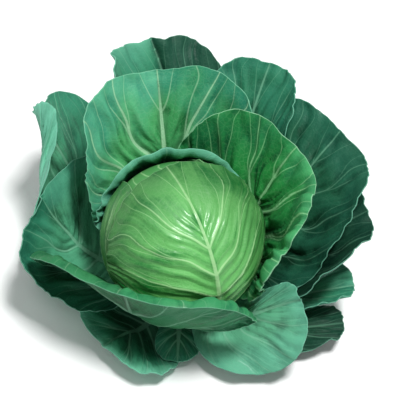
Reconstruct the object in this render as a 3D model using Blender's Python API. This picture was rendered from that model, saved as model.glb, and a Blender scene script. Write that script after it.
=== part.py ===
"""White cabbage, as picked: a tight head on its cut stalk, in close leaves and a ring of loose outer leaves.

Metres, +Z up. The origin is the middle of the stalk's cut face, which the cabbage stands on.
"""

import math
from dataclasses import dataclass

import bpy
import numpy as np
from mathutils import Vector
from mathutils.bvhtree import BVHTree

# Driving dimensions
HEAD_RADIUS = 0.079
HEAD_MIDDLE = 0.122
STALK_RADIUS = 0.021
BLADE = 0.0010  # thickness of a leaf away from its midrib
RIB_HALF_WIDTH = 0.008
ROOT_GAP = 0.0006  # between the stalk and the roots of the leaves
FLOOR_GAP = 0.0015  # between the lowest leaves and what the cabbage stands on

# Where the last side veins leave the midrib, as a share of the leaf's length
VEIN_ROOTS = 0.70
# Half of a blade's outline, root to tip: across and along, as shares of half the width and of the length
MARGIN = (
    (0.00, 0.00),
    (0.12, 0.06),
    (0.44, 0.14),
    (0.82, 0.27),
    (0.99, 0.46),
    (1.00, 0.67),
    (0.84, 0.87),
    (0.49, 0.98),
    (0.00, 1.00),
)
# The mesh of a leaf: where its lines run between the midrib and the margin, and how many rows it has
ACROSS = np.array([0.0, 0.08, 0.40, 0.70, 0.87, 1.0])
SIDE = len(ACROSS) - 1
ROWS = 14
MIDRIB_STEPS = 64

FINISHES = {
    "head_leaf": ((0.26, 0.50, 0.20), 0.35),
    "inner_leaf": ((0.06, 0.30, 0.12), 0.45),
    "outer_leaf": ((0.06, 0.30, 0.20), 0.50),
}


@dataclass
class Leaf:
    """One leaf. Angles are in degrees and lengths in metres. Left and right are as seen along the midrib from
    its root, with the inner face up. What runs round the margin goes from the right root by the tip to the
    left root."""

    name: str
    finish: str
    heading: float  # where the midrib points, seen from above, anticlockwise from +X
    root: float  # height on the stalk
    length: float
    width: float
    rise: tuple  # slope of the midrib at even steps from the root to the tip
    skew: float = 0.0  # how much wider than half the width the left half is, as a share of it
    veer: tuple = (0.0, 0.0)  # sideways turn of the midrib, at even steps
    twist: tuple = (0.0, 0.0)  # turn of the blade about the midrib, at even steps
    cup: tuple = (40.0, 40.0)  # how far the left and the right half bend up by the widest place
    cup_along: tuple = (1.0, 1.0)  # share of that bend, at even steps from the root to the tip
    curl: tuple = (0.0, 0.0)  # turn of the rim, at even steps round the margin, negative outwards
    curl_depth: float = 0.018
    ruffle: tuple = (0.0, 0.0)  # height of the waves, at even steps round the margin
    waves: float = 5.0  # waves along each side
    phase: float = 0.0
    petiole: float = 0.0040  # thickness of the midrib's root
    foot: float = 0.0075  # half of the root's width
    start: float = STALK_RADIUS + ROOT_GAP  # how far from the axis the root is
    gap: float = 0.0022  # what stays free between this leaf and those inside it


def smooth_through(keys, share):
    """A smooth curve through evenly spaced keys, read at share, from 0 at the first to 1 at the last."""
    keys = np.asarray(keys, float)
    place = np.clip(share, 0.0, 1.0) * (len(keys) - 1)
    first = np.minimum(place.astype(int), len(keys) - 2)
    t = place - first
    if keys.ndim > 1:
        t = t[..., None]
    padded = np.concatenate([[2 * keys[0] - keys[1]], keys, [2 * keys[-1] - keys[-2]]])
    a, b, c, d = (padded[first + step] for step in range(4))
    return 0.5 * (2 * b + (c - a) * t + (2 * a - 5 * b + 4 * c - d) * t**2 + (3 * b - a - 3 * c + d) * t**3)


def ease(low, high, value):
    """0 below low, 1 above high, and smooth between them."""
    t = np.clip((value - low) / (high - low), 0.0, 1.0)
    return t * t * (3 - 2 * t)


def half_width(leaf, side):
    """Width of the blade's left half where side is positive, and of its right half where it is negative."""
    return leaf.width / 2 * (1 + leaf.skew * np.sign(side))


def flat_blade(leaf, along, out):
    """Where a point lies on the leaf laid flat. Along picks a side vein, 0 at the root and 1 at the tip, and
    out is how far along that vein the point is, 1 at the left margin and -1 at the right one."""
    edge = smooth_through(MARGIN, along)
    foot = leaf.foot * (1 - along) ** 2
    edge_x = np.where(along < 1.0, edge[..., 0] * (half_width(leaf, out) - foot) + foot, 0.0)
    edge_y = edge[..., 1] * leaf.length
    rib_y = VEIN_ROOTS * leaf.length * along
    bow_y = rib_y + 0.30 * (edge_y - rib_y)
    reach = np.abs(out)
    x = reach * (1 - reach) * edge_x + reach**2 * edge_x
    y = (1 - reach) ** 2 * rib_y + 2 * reach * (1 - reach) * bow_y + reach**2 * edge_y
    return np.sign(out) * x, y


def midrib_path(leaf):
    """Points along the bent midrib, at even steps."""
    steps = (np.arange(MIDRIB_STEPS) + 0.5) / MIDRIB_STEPS
    rise = np.radians(smooth_through(leaf.rise, steps))
    turn = np.radians(leaf.heading + smooth_through(leaf.veer, steps))
    ahead = np.stack([np.cos(rise) * np.cos(turn), np.cos(rise) * np.sin(turn), np.sin(rise)], axis=1)
    heading = math.radians(leaf.heading)
    root = np.array([leaf.start * math.cos(heading), leaf.start * math.sin(heading), leaf.root])
    return root + np.concatenate([[[0, 0, 0]], np.cumsum(ahead, axis=0)]) * leaf.length / MIDRIB_STEPS


def bent_blade(leaf, x, y):
    """Where a point of the flat leaf lies once the midrib and the two halves have bent."""
    path = midrib_path(leaf)
    share = np.clip(y / leaf.length, 0.0, 1.0)
    knots = np.linspace(0, 1, MIDRIB_STEPS + 1)
    middle = np.stack([np.interp(share, knots, path[:, axis]) for axis in range(3)], axis=-1)

    rise = np.radians(smooth_through(leaf.rise, share))
    turn = np.radians(leaf.heading + smooth_through(leaf.veer, share))
    side = np.stack([-np.sin(turn), np.cos(turn), np.zeros_like(turn)], axis=-1)
    up = np.stack([-np.sin(rise) * np.cos(turn), -np.sin(rise) * np.sin(turn), np.cos(rise)], axis=-1)
    twist = np.radians(smooth_through(leaf.twist, share))[..., None]
    side, up = np.cos(twist) * side + np.sin(twist) * up, np.cos(twist) * up - np.sin(twist) * side

    cup = np.radians(np.where(x > 0, *leaf.cup)) * smooth_through(leaf.cup_along, share)
    bend = cup * np.abs(x) / half_width(leaf, x)
    bend = np.where(np.abs(bend) < 1e-6, 1e-6, bend)
    across = x * np.sin(bend) / bend
    lift = np.abs(x) * (1 - np.cos(bend)) / bend
    return middle + across[..., None] * side + lift[..., None] * up


def ruffle_height(leaf, along, out):
    """How far a point of the blade stands off by the waves of its margin."""
    place = np.sign(out) * (1 - along)
    wave = np.sin(math.tau * leaf.waves * place + leaf.phase)
    wave += 0.5 * np.sin(math.tau * 2.3 * leaf.waves * place + 1.7 * leaf.phase)
    height = smooth_through(leaf.ruffle, 0.5 + 0.5 * place)
    return height * np.abs(out) ** 2.5 * ease(0.05, 0.20, along) * wave / 1.5


def curled_blade(leaf, along, out):
    """Where a point of the blade lies once its rim has curled and waved too."""
    side = np.sign(out)
    rib_x, rib_y = flat_blade(leaf, along, 0.0 * out)
    edge_x, edge_y = flat_blade(leaf, along, side)
    vein = np.hypot(edge_x - rib_x, edge_y - rib_y) + 1e-6
    hinge = 1 - np.minimum(leaf.curl_depth / vein, 0.6)
    inner = np.minimum(np.abs(out), hinge)
    x, y = flat_blade(leaf, along, side * inner)
    place = bent_blade(leaf, x, y)

    step = 1e-4
    back_x, back_y = flat_blade(leaf, along, side * (inner - 0.02))
    run = np.hypot(x - back_x, y - back_y) + 1e-9
    left = (bent_blade(leaf, x + step, y) - bent_blade(leaf, x - step, y)) / (2 * step)
    ahead = (bent_blade(leaf, x, y) - bent_blade(leaf, x, y - step)) / step
    ahead = np.where((y < step)[..., None], (bent_blade(leaf, x, y + step) - place) / step, ahead)
    outward = left * ((x - back_x) / run)[..., None] + ahead * ((y - back_y) / run)[..., None]
    normal = np.cross(ahead, left)

    round_margin = 0.5 + 0.5 * side * (1 - along)
    curve = np.radians(smooth_through(leaf.curl, round_margin)) / (vein * (1 - hinge))
    curve = np.where(np.abs(curve) < 1e-3, 1e-3, curve)
    turned = curve * (np.abs(out) - inner) * vein
    place = place + (np.sin(turned) / curve)[..., None] * outward
    place = place + ((1 - np.cos(turned)) / curve)[..., None] * normal
    rim_normal = np.cos(turned)[..., None] * normal - np.sin(turned)[..., None] * outward
    return place + ruffle_height(leaf, along, out)[..., None] * rim_normal


def grid_places():
    """Along and out of every point of a leaf's mesh, as two arrays of rows and columns."""
    out = np.concatenate([-ACROSS[:0:-1], ACROSS])
    return np.meshgrid(np.linspace(0, 1, ROWS + 1), out, indexing="ij")


def rib_share(leaf):
    """How far into the thick midrib each point of a leaf's mesh is, 1 in its middle and 0 outside it."""
    x, _ = flat_blade(leaf, *grid_places())
    return np.clip(1 - (x / RIB_HALF_WIDTH) ** 2, 0, 1)


def blurred(field):
    """The field with every value set to the mean of it and its neighbours."""
    padded = np.pad(field, 1, mode="edge")
    sides = padded[:-2, 1:-1] + padded[2:, 1:-1] + padded[1:-1, :-2] + padded[1:-1, 2:]
    return (2 * field + sides) / 6


def press_out(leaf, sheet, inside):
    """Push a sheet away from the head's middle until it clears the leaves inside it."""
    middle = np.array([0.0, 0.0, HEAD_MIDDLE])
    rib = rib_share(leaf)
    from_root = ease(0.0, 0.3, grid_places()[0])
    steps = 4
    reach = 0.030
    for _ in range(8):
        need = np.zeros(sheet.shape[:2])
        for row_step in range(steps):
            for column_step in range(steps):
                u, v = row_step / (steps - 1), column_step / (steps - 1)
                low = sheet[:-1, :-1] * (1 - v) + sheet[:-1, 1:] * v
                high = sheet[1:, :-1] * (1 - v) + sheet[1:, 1:] * v
                samples = low * (1 - u) + high * u
                for row, column in np.ndindex(samples.shape[:2]):
                    away = samples[row, column] - middle
                    distance = float(np.linalg.norm(away))
                    away = Vector(away / distance)
                    far = Vector(middle) + away * (distance + reach)
                    hit = inside.ray_cast(far, -away, reach + leaf.gap)[3]
                    if hit is not None:
                        cell = need[row : row + 2, column : column + 2]
                        np.maximum(cell, reach - hit + leaf.gap, out=cell)
        if need.max() < 1e-5:
            break
        push = need
        for _ in range(24):
            push = np.maximum(need, blurred(push) * from_root)
        push = np.where(rib > 0, (push * (rib > 0)).max(axis=1, keepdims=True), push)
        push[:, SIDE:] = np.maximum.accumulate(push[:, SIDE:], axis=1)
        push[:, SIDE::-1] = np.maximum.accumulate(push[:, SIDE::-1], axis=1)
        push[-1] = np.maximum(push[-1], push[-1][::-1])
        away = sheet - middle
        sheet = sheet + away / np.linalg.norm(away, axis=-1, keepdims=True) * push[..., None]
    return sheet


def leaf_solid(leaf, sheet):
    """Points and triangles of the sheet's inner face, its outer face and its rim."""
    rows, columns = sheet.shape[:2]

    def number(row, column):
        return row * columns + (max(column, columns - 1 - column) if row == rows - 1 else column)

    inner = []
    places = sheet.reshape(-1, 3)
    for row in range(rows - 1):
        for column in range(columns - 1):
            a, b = number(row, column), number(row, column + 1)
            c, d = number(row + 1, column + 1), number(row + 1, column)
            if np.linalg.norm(places[a] - places[c]) < np.linalg.norm(places[b] - places[d]):
                inner += [(a, c, b), (a, d, c)]
            else:
                inner += [(a, d, b), (b, d, c)]

    corners = places[np.array(inner)]
    turns = np.cross(corners[:, 1] - corners[:, 0], corners[:, 2] - corners[:, 0])
    normals = np.zeros_like(places)
    for corner in range(3):
        np.add.at(normals, np.array(inner)[:, corner], turns)
    normals = normals.reshape(sheet.shape)
    normals[-1, :SIDE] = normals[-1, :SIDE:-1]
    normals /= np.linalg.norm(normals, axis=-1, keepdims=True)
    rib = rib_share(leaf)
    normals += rib[..., None] * (normals[:, SIDE : SIDE + 1] - normals)
    normals /= np.linalg.norm(normals, axis=-1, keepdims=True)

    _, y = flat_blade(leaf, *grid_places())
    thickness = BLADE + (leaf.petiole - BLADE) * rib * np.clip(1 - y / leaf.length, 0, 1) ** 1.2
    outer = (sheet - normals * thickness[..., None]).reshape(-1, 3)

    used = sorted({corner for face in inner for corner in face})
    order = {corner: index for index, corner in enumerate(used)}
    count = len(used)
    faces = [tuple(order[corner] for corner in face) for face in inner]
    faces += [tuple(count + corner for corner in reversed(face)) for face in faces]
    rim = [number(row, 0) for row in range(rows - 1)]
    rim += [number(row, columns - 1) for row in range(rows - 1, -1, -1)]
    rim += [number(0, column) for column in range(columns - 2, 0, -1)]
    for here, beyond in zip(rim, rim[1:] + rim[:1]):
        a, b = order[here], order[beyond]
        faces += [(b, a, count + a), (b, count + a, count + b)]
    points = [Vector(place) for place in (*places[used], *outer[used])]
    return points, faces


def heart_profile():
    """Radius and height of points up the outline of the heart and its stalk, from the cut face to the top."""
    low = math.asin(STALK_RADIUS / HEAD_RADIUS)
    angles = np.linspace(low, math.pi, 20)[:-1]
    ball = [(HEAD_RADIUS * math.sin(angle), HEAD_MIDDLE - HEAD_RADIUS * math.cos(angle)) for angle in angles]
    return [(0.0, 0.0), (STALK_RADIUS, 0.0), *ball, (0.0, HEAD_MIDDLE + HEAD_RADIUS)]


def heart_solid(sides=32):
    """Points and triangles of the tight inner ball on its cut stalk, turned about Z."""
    profile = heart_profile()
    rings = profile[1:-1]
    points = [Vector((0, 0, profile[0][1])), Vector((0, 0, profile[-1][1]))]
    for radius, height in rings:
        for side in range(sides):
            angle = math.tau * side / sides
            points.append(Vector((radius * math.cos(angle), radius * math.sin(angle), height)))
    faces = []
    for side in range(sides):
        beside = (side + 1) % sides
        faces.append((0, 2 + beside, 2 + side))
        top = 2 + (len(rings) - 1) * sides
        faces.append((1, top + side, top + beside))
        for ring in range(len(rings) - 1):
            low, high = 2 + ring * sides, 2 + (ring + 1) * sides
            faces += [(low + side, low + beside, high + beside), (low + side, high + beside, high + side)]
    return points, faces


def close_leaf(name, heading, layer, first_angle, last_angle, width, **more):
    """A leaf wrapped round the head. Layer is how far outside the heart it lies, and the angles are where it
    starts and ends, in degrees up from the head's underside."""
    radius = HEAD_RADIUS + layer
    low = math.radians(first_angle)
    return Leaf(
        name,
        "head_leaf",
        heading,
        HEAD_MIDDLE - radius * math.cos(low),
        radius * math.radians(last_angle - first_angle),
        width,
        (first_angle, last_angle),
        cup=(math.degrees(width / 2 / radius),) * 2,
        petiole=0.0020,
        start=radius * math.sin(low),
        gap=0.0014,
        **more,
    )


# From the inside out, in the order in which they are pressed out of each other's way
LEAVES = (
    # Close leaves, wrapped round the head
    close_leaf("left_wrapper", 207, 0.0015, 22, 155, 0.190),
    close_leaf("right_wrapper", 25, 0.0015, 22, 150, 0.180),
    close_leaf("front_wrapper", 297, 0.0030, 22, 205, 0.230),
    close_leaf("back_wrapper", 102, 0.0060, 22, 142, 0.200,
               curl=(0, -20, -60, -90, -60, -10, 0), curl_depth=0.014),
    # Inner leaves, which stand close round the head
    Leaf("back_right_inner", "inner_leaf", 30, 0.037, 0.200, 0.216, (12, 48, 66, 58, 48), cup=(60, 60),
         curl=(0, -70, -80, -20, 0, 0, 0), curl_depth=0.012,
         ruffle=(0, 0.006, 0.006, 0.003, 0.003, 0.003, 0), waves=4),
    Leaf("back_left_inner", "inner_leaf", 99, 0.037, 0.235, 0.215, (12, 45, 66, 60, 48), cup=(65, 50),
         ruffle=(0, 0.002, 0.002, 0.003, 0.002, 0.002, 0), waves=2.5, phase=1),
    Leaf("front_left_inner", "inner_leaf", 235, 0.037, 0.144, 0.236, (12, 48, 71, 76, 72),
         twist=(0, 3, 8, 10), cup=(45, 10), curl=(0, -60, -100, -90, -130, -60, 0), curl_depth=0.018,
         ruffle=(0, 0.002, 0.002, 0.001, 0.002, 0.002, 0)),
    # Outer leaves, which lean out
    Leaf("front_fold", "outer_leaf", 308, 0.033, 0.142, 0.092, (8, 24, 30, 32, 24), skew=-0.3,
         veer=(0, 28, 46, 50), twist=(5, 20, 34, 40, 38), cup=(30, -10),
         ruffle=(0, 0.003, 0.004, 0.003, 0.002, 0.002, 0), waves=3),
    Leaf("back_right_upper", "outer_leaf", 62, 0.030, 0.262, 0.135, (8, 36, 54, 50, 40), cup=(40, 60),
         ruffle=(0, 0.003, 0.003, 0.004, 0.003, 0.002, 0), waves=2.5),
    Leaf("back_upper", "outer_leaf", 88, 0.023, 0.272, 0.160, (8, 38, 57, 54, 38), skew=0.1,
         veer=(0, 6, 20, 36), cup=(85, 10), ruffle=(0, 0.002, 0.002, 0.004, 0.002, 0.002, 0), waves=2.5,
         phase=2),
    Leaf("left_spread", "outer_leaf", 158, 0.030, 0.180, 0.198, (0, 13, 31, 57, 66), skew=-0.12, cup=(30, 68),
         ruffle=(0, 0.002, 0.002, 0.004, 0.003, 0.002, 0), waves=3, gap=0.003),
    Leaf("right_upper", "outer_leaf", 35, 0.023, 0.240, 0.200, (5, 30, 43, 42, 32), cup=(40, 40),
         ruffle=(0, 0.003, 0.003, 0.004, 0.003, 0.002, 0), waves=3, phase=1),
    Leaf("right_lower", "outer_leaf", 10, 0.017, 0.208, 0.140, (8, 31, 41, 36, 26), cup=(50, 60),
         ruffle=(0, 0.003, 0.004, 0.004, 0.004, 0.003, 0), waves=3),
    Leaf("left_upper", "outer_leaf", 137, 0.021, 0.230, 0.138, (5, 30, 49, 50, 46),
         twist=(0, 0, 22, 40), cup=(175, 40), cup_along=(0.3, 0.35, 0.75, 0.95)),
    Leaf("right_boat", "outer_leaf", 352, 0.010, 0.176, 0.075, (5, 16, 20, 18, 12), veer=(0, 5, 8),
         cup=(80, 80), petiole=0.0030, foot=0.0060),
    Leaf("right_low", "outer_leaf", 322, 0.010, 0.172, 0.064, (0, 4, 9, 11, 8), veer=(0, 33, 40), cup=(15, 5),
         ruffle=(0, 0.002, 0.003, 0.003, 0.003, 0.002, 0), waves=3, petiole=0.0030, foot=0.0060),
    Leaf("front_low", "outer_leaf", 268, 0.021, 0.066, 0.050, (2, 0, -4, -10, -16), cup=(10, 10)),
    Leaf("front_left_low", "outer_leaf", 222, 0.018, 0.093, 0.122, (0, 6, 10, 10, 8), cup=(20, 20),
         ruffle=(0, 0.002, 0.003, 0.003, 0.003, 0.002, 0), waves=3),
    Leaf("back_low", "outer_leaf", 76, 0.014, 0.200, 0.150, (0, 12, 22, 20, 5), cup=(30, 30)),
    Leaf("back_left_low", "outer_leaf", 152, 0.012, 0.160, 0.120, (0, 6, 12, 12, 5), cup=(30, 30)),
)


def grow(leaves):
    """The sheet of every leaf, in order, each pressed clear of the heart and of those before it."""
    points, faces = heart_solid()
    sheets = []
    for leaf in leaves:
        inside = BVHTree.FromPolygons(points, faces)
        sheet = press_out(leaf, curled_blade(leaf, *grid_places()), inside)
        lift = np.maximum(FLOOR_GAP + BLADE - sheet[..., 2], 0.0)
        sheet = sheet + lift[..., None] * np.array([0.0, 0.0, 1.0])
        new_points, new_faces = leaf_solid(leaf, sheet)
        faces = faces + [tuple(len(points) + corner for corner in face) for face in new_faces]
        points = points + new_points
        sheets.append(sheet)
    return sheets


def material(name, colour, roughness):
    """A Principled material of one colour."""
    made = bpy.data.materials.get(name)
    if made is None:
        made = bpy.data.materials.new(name)
        made.use_nodes = True
        shader = made.node_tree.nodes["Principled BSDF"]
        shader.inputs["Base Color"].default_value = (*colour, 1.0)
        shader.inputs["Roughness"].default_value = roughness
        shader.inputs["Metallic"].default_value = 0.0
    return made


def add_solid(name, finish, solid, collection):
    """A named object made of the solid's points and triangles."""
    points, faces = solid
    data = bpy.data.meshes.new(name)
    data.from_pydata(points, [], faces)
    data.shade_smooth()
    data.materials.append(material(finish, *FINISHES[finish]))
    collection.objects.link(bpy.data.objects.new(name, data))


def main():
    for thing in list(bpy.data.objects):
        bpy.data.objects.remove(thing)
    cabbage = bpy.data.collections.new("white_cabbage")
    bpy.context.scene.collection.children.link(cabbage)
    add_solid("heart", "head_leaf", heart_solid(), cabbage)
    for leaf, sheet in zip(LEAVES, grow(LEAVES)):
        add_solid(leaf.name, leaf.finish, leaf_solid(leaf, sheet), cabbage)


main()
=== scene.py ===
"""White cabbage, dressed: finely veined, quilted and waved leaves round a tight head on its cut stalk."""

import logging
import math
from dataclasses import dataclass, field, replace
from enum import Enum

import bmesh
import bpy
import numpy as np
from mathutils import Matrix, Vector, noise
from mathutils.bvhtree import BVHTree


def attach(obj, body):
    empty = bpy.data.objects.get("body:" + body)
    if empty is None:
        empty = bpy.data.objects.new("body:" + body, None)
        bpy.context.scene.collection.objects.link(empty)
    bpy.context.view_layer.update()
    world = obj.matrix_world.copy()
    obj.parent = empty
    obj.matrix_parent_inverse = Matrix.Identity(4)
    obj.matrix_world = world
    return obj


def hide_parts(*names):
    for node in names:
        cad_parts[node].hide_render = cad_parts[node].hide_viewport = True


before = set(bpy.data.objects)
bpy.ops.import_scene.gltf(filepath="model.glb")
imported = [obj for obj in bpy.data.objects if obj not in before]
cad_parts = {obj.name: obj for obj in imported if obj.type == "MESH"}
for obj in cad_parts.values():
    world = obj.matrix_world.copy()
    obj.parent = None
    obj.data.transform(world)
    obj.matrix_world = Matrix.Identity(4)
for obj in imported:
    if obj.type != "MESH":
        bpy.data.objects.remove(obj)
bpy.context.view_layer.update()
LOG = logging.getLogger("cabbage")

# Sizes that the leaves and the head share, in metres, as the frame was modelled
HEAD_RADIUS = 0.079
HEAD_MIDDLE = 0.122
STALK_RADIUS = 0.021
BLADE = 0.0010
RIB_HALF_WIDTH = 0.008
ROOT_GAP = 0.0006
FLOOR_GAP = 0.0015
VEIN_ROOTS = 0.70
MARGIN = (
    (0.00, 0.00),
    (0.12, 0.06),
    (0.44, 0.14),
    (0.82, 0.27),
    (0.99, 0.46),
    (1.00, 0.67),
    (0.84, 0.87),
    (0.49, 0.98),
    (0.00, 1.00),
)
ACROSS = np.array([0.0, 0.08, 0.40, 0.70, 0.87, 1.0])
SIDE = len(ACROSS) - 1
ROWS = 14
MIDRIB_STEPS = 64


class Tissue(Enum):
    """The kinds of leaf, by the record's material slots."""

    HEAD = "head_leaf"
    INNER = "inner_leaf"
    OUTER = "outer_leaf"


@dataclass(frozen=True)
class Veining:
    """How a blade is veined, quilted, crumpled and torn, in metres. What isn't given is as on an outer leaf."""

    side_veins: int = 7
    lean: float = 0.40  # how far the feet of the side veins gather towards the root
    bulge: float = 0.0018  # how far the blade rises between its veins
    crumple: float = 0.0010
    pleat: float = 0.0026  # height of the narrow folds that run along the side veins
    ridge: float = 0.0008  # how far the side veins stand out of the outer face
    vein: float = 0.0009  # half the width of a side vein at its foot
    rib: float = 0.50  # how wide the pale midrib is at its foot, as a share of the thick one
    ragged: float = 0.0028  # depth of the nicks in the margin
    frill: tuple[float, ...] = (0.0010, 0.0010)  # small waves, at even steps round the margin
    creases: tuple[tuple[float, float, float], ...] = ()  # side, place among the veins, and depth
    cell: float = 0.0021  # size of the mesh's faces


@dataclass
class Leaf:
    """One leaf of the frame. Angles are in degrees and lengths in metres. Left and right are as seen along the
    midrib from its root, with the inner face up. What runs round the margin goes from the right root by the tip
    to the left root."""

    name: str
    tissue: Tissue
    heading: float
    root: float
    length: float
    width: float
    rise: tuple[float, ...]
    skew: float = 0.0
    veer: tuple[float, ...] = (0.0, 0.0)
    twist: tuple[float, ...] = (0.0, 0.0)
    cup: tuple[float, float] = (40.0, 40.0)
    cup_along: tuple[float, ...] = (1.0, 1.0)
    curl: tuple[float, ...] = (0.0, 0.0)
    curl_depth: float = 0.018
    ruffle: tuple[float, ...] = (0.0, 0.0)
    waves: float = 5.0
    phase: float = 0.0
    petiole: float = 0.0040
    foot: float = 0.0075
    start: float = STALK_RADIUS + ROOT_GAP
    gap: float = 0.0022
    tone: tuple[float, ...] = (1.0, 1.0)  # how light it is drawn beside its kind, from its right margin to its left: partly its own lighter or darker green, partly painted light where the light falls full on it and painted shade where other leaves shade it
    look: "LeafFinish | None" = None  # its finish, where that isn't its kind's
    veining: Veining = field(default_factory=Veining)

    def half_width(self, side: np.ndarray) -> np.ndarray:
        """Width of the left half where side is positive, and of the right half where it is negative."""
        return self.width / 2 * (1 + self.skew * np.sign(side))

    def flat(self, along: np.ndarray, out: np.ndarray) -> tuple[np.ndarray, np.ndarray]:
        """Where a point lies on the leaf laid flat.

        Args:
            along: Which side vein, 0 at the root and 1 at the tip.
            out: How far along that vein, 1 at the left margin and -1 at the right one.

        Returns:
            How far left of the midrib the point is, and how far from the root.
        """
        edge = smooth_through(MARGIN, along)
        foot = self.foot * (1 - along) ** 2
        edge_x = np.where(along < 1.0, edge[..., 0] * (self.half_width(out) - foot) + foot, 0.0)
        edge_y = edge[..., 1] * self.length
        rib_y = VEIN_ROOTS * self.length * along
        bow_y = rib_y + 0.30 * (edge_y - rib_y)
        reach = np.abs(out)
        x = reach * (1 - reach) * edge_x + reach**2 * edge_x
        y = (1 - reach) ** 2 * rib_y + 2 * reach * (1 - reach) * bow_y + reach**2 * edge_y
        return np.sign(out) * x, y

    def midrib(self) -> np.ndarray:
        """Points along the bent midrib, at even steps."""
        steps = (np.arange(MIDRIB_STEPS) + 0.5) / MIDRIB_STEPS
        rise = np.radians(smooth_through(self.rise, steps))
        turn = np.radians(self.heading + smooth_through(self.veer, steps))
        ahead = np.stack([np.cos(rise) * np.cos(turn), np.cos(rise) * np.sin(turn), np.sin(rise)], axis=1)
        heading = math.radians(self.heading)
        root = np.array([self.start * math.cos(heading), self.start * math.sin(heading), self.root])
        return root + np.concatenate([[[0, 0, 0]], np.cumsum(ahead, axis=0)]) * self.length / MIDRIB_STEPS

    def bent(self, x: np.ndarray, y: np.ndarray) -> np.ndarray:
        """Where a point of the flat leaf lies once the midrib and the two halves have bent.

        Args:
            x: How far left of the midrib the point is.
            y: How far from the root it is.

        Returns:
            The points in the frame.
        """
        path = self.midrib()
        share = np.clip(y / self.length, 0.0, 1.0)
        knots = np.linspace(0, 1, MIDRIB_STEPS + 1)
        middle = np.stack([np.interp(share, knots, path[:, axis]) for axis in range(3)], axis=-1)

        rise = np.radians(smooth_through(self.rise, share))
        turn = np.radians(self.heading + smooth_through(self.veer, share))
        side = np.stack([-np.sin(turn), np.cos(turn), np.zeros_like(turn)], axis=-1)
        up = np.stack([-np.sin(rise) * np.cos(turn), -np.sin(rise) * np.sin(turn), np.cos(rise)], axis=-1)
        twist = np.radians(smooth_through(self.twist, share))[..., None]
        side, up = np.cos(twist) * side + np.sin(twist) * up, np.cos(twist) * up - np.sin(twist) * side

        cup = np.radians(np.where(x > 0, *self.cup)) * smooth_through(self.cup_along, share)
        bend = cup * np.abs(x) / self.half_width(x)
        bend = np.where(np.abs(bend) < 1e-6, 1e-6, bend)
        across = x * np.sin(bend) / bend
        lift = np.abs(x) * (1 - np.cos(bend)) / bend
        return middle + across[..., None] * side + lift[..., None] * up

    def ruffle_height(self, along: np.ndarray, out: np.ndarray) -> np.ndarray:
        """How far a point of the blade stands off by the long waves of its margin."""
        place = np.sign(out) * (1 - along)
        wave = np.sin(math.tau * self.waves * place + self.phase)
        wave += 0.5 * np.sin(math.tau * 2.3 * self.waves * place + 1.7 * self.phase)
        height = smooth_through(self.ruffle, 0.5 + 0.5 * place)
        return height * np.abs(out) ** 2.5 * ease(0.05, 0.20, along) * wave / 1.5

    def curled(self, along: np.ndarray, out: np.ndarray) -> np.ndarray:
        """Where a point of the blade lies once its rim has curled and waved too.

        Args:
            along: Which side vein, 0 at the root and 1 at the tip.
            out: How far along that vein, 1 at the left margin and -1 at the right one.

        Returns:
            The points in the frame.
        """
        side = np.sign(out)
        rib_x, rib_y = self.flat(along, 0.0 * out)
        edge_x, edge_y = self.flat(along, side)
        vein = np.hypot(edge_x - rib_x, edge_y - rib_y) + 1e-6
        hinge = 1 - np.minimum(self.curl_depth / vein, 0.6)
        inner = np.minimum(np.abs(out), hinge)
        x, y = self.flat(along, side * inner)
        place = self.bent(x, y)

        step = 1e-4
        back_x, back_y = self.flat(along, side * (inner - 0.02))
        run = np.hypot(x - back_x, y - back_y) + 1e-9
        left = (self.bent(x + step, y) - self.bent(x - step, y)) / (2 * step)
        ahead = (self.bent(x, y) - self.bent(x, y - step)) / step
        ahead = np.where((y < step)[..., None], (self.bent(x, y + step) - place) / step, ahead)
        outward = left * ((x - back_x) / run)[..., None] + ahead * ((y - back_y) / run)[..., None]
        normal = np.cross(ahead, left)

        round_margin = 0.5 + 0.5 * side * (1 - along)
        curve = np.radians(smooth_through(self.curl, round_margin)) / (vein * (1 - hinge))
        curve = np.where(np.abs(curve) < 1e-3, 1e-3, curve)
        turned = curve * (np.abs(out) - inner) * vein
        place = place + (np.sin(turned) / curve)[..., None] * outward
        place = place + ((1 - np.cos(turned)) / curve)[..., None] * normal
        rim_normal = np.cos(turned)[..., None] * normal - np.sin(turned)[..., None] * outward
        return place + self.ruffle_height(along, out)[..., None] * rim_normal

    def rib_share(self, along: np.ndarray, out: np.ndarray) -> np.ndarray:
        """How far into the thick midrib each point is, 1 in its middle and 0 outside it."""
        x, _ = self.flat(along, out)
        return np.clip(1 - (x / RIB_HALF_WIDTH) ** 2, 0, 1)

    def thickness(self, along: np.ndarray, out: np.ndarray) -> np.ndarray:
        """Thickness of the blade and its midrib."""
        _, y = self.flat(along, out)
        rib = self.rib_share(along, out)
        return BLADE + (self.petiole - BLADE) * rib * np.clip(1 - y / self.length, 0, 1) ** 1.2


def smooth_through(keys: tuple | np.ndarray, share: np.ndarray) -> np.ndarray:
    """A smooth curve through evenly spaced keys.

    Args:
        keys: The values to pass through.
        share: Where to read it, 0 at the first key and 1 at the last.

    Returns:
        The curve's values there.
    """
    keys = np.asarray(keys, float)
    place = np.clip(share, 0.0, 1.0) * (len(keys) - 1)
    first = np.minimum(place.astype(int), len(keys) - 2)
    t = place - first
    if keys.ndim > 1:
        t = t[..., None]
    padded = np.concatenate([[2 * keys[0] - keys[1]], keys, [2 * keys[-1] - keys[-2]]])
    a, b, c, d = (padded[first + step] for step in range(4))
    return 0.5 * (2 * b + (c - a) * t + (2 * a - 5 * b + 4 * c - d) * t**2 + (3 * b - a - 3 * c + d) * t**3)


def ease(low: float, high: float, value: np.ndarray) -> np.ndarray:
    """0 below low, 1 above high, and smooth between them."""
    t = np.clip((value - low) / (high - low), 0.0, 1.0)
    return t * t * (3 - 2 * t)


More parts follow.
